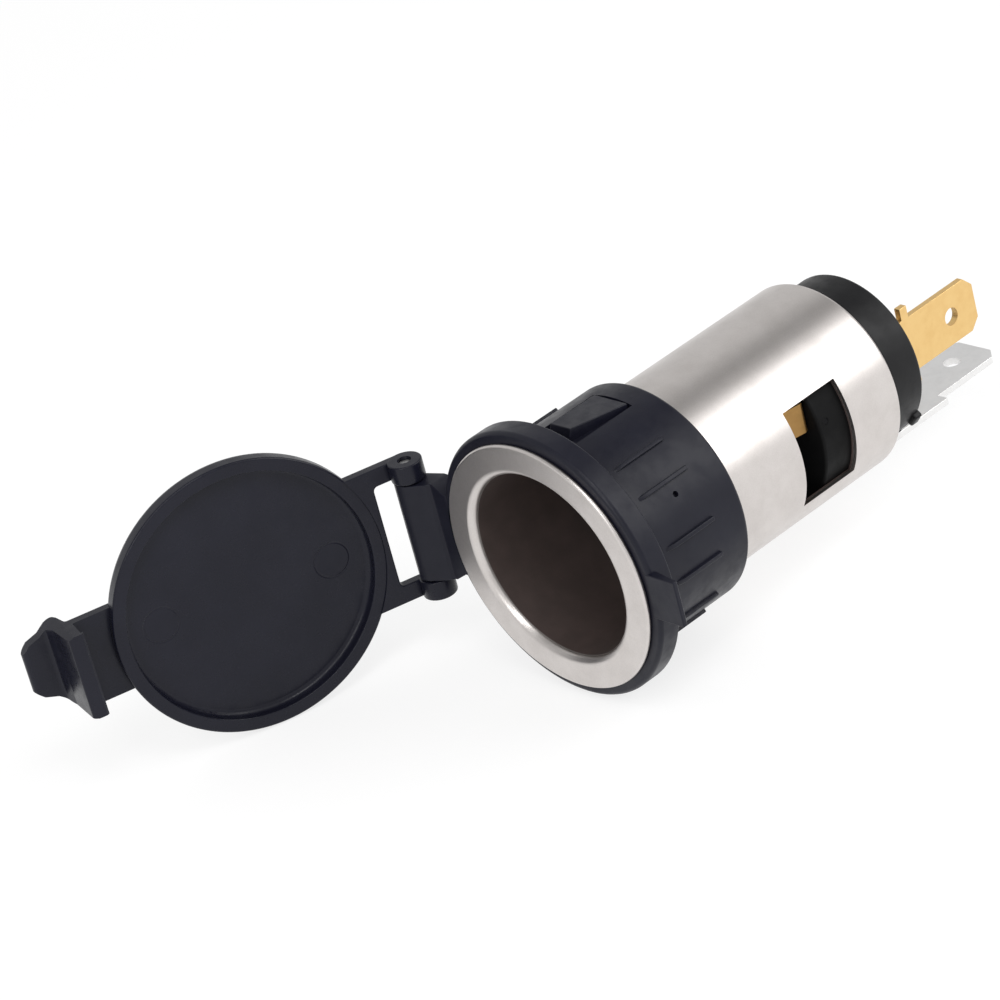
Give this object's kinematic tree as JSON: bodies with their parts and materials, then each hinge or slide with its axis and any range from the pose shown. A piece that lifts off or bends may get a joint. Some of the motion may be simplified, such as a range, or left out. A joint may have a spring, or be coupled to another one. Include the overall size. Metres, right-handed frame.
{
  "type": "vehicle 12 volt power socket",
  "caption": "Cylindrical panel-mount 12 volt power socket with a plated steel shell, dark plastic bezel, hinged snap-shut lid and flat blade terminals.",
  "frame": {"origin": "on the barrel axis, in the plane of the bezel flange's rear face, which seats on the panel", "axes": "+Y along the barrel axis, towards the terminals; the mouth faces -Y; +Z is along the lid's hinge pin, up in the picture; the hinge is on the -X side and the lid's catch on +X"},
  "size_m": [0.057, 0.1033, 0.0304],
  "materials": {
    "bezel_plastic": "blue-black moulded plastic, satin",
    "lid_plastic": "blue-black moulded plastic, satin",
    "pin_steel": "drawn steel wire",
    "nickel_shell": "satin nickel plating on drawn steel",
    "insulator_black": "black moulded insulator, matt",
    "clip_brass": "sprung brass strip, dull",
    "contact_brass": "pressed brass",
    "rivet_brass": "headed brass",
    "washer_steel": "zinc plated",
    "cap_black": "black moulded insulator, satin",
    "terminal_brass": "bright rolled brass strip",
    "tinned_strip": "tinned strip, satin"
  },
  "bodies": {
    "socket": {"bezel": "bezel_plastic", "shell": "nickel_shell", "inner_insulator": "insulator_black", "contact_clip": "clip_brass", "centre_contact": "contact_brass", "centre_rivet": "rivet_brass", "rivet_washer": "washer_steel", "rear_cap": "cap_black", "power_terminal": "terminal_brass", "ground_terminal": "tinned_strip"},
    "lid": {"lid": "lid_plastic", "hinge_pin": "pin_steel"}
  },
  "joints": [
    {"name": "lid_hinge", "type": "hinge", "parent": "socket", "child": "lid", "pos_m": [-0.0194, -0.00275, 0], "axis": [0, 0, -1], "range_deg": [-109, 60]}
  ]
}
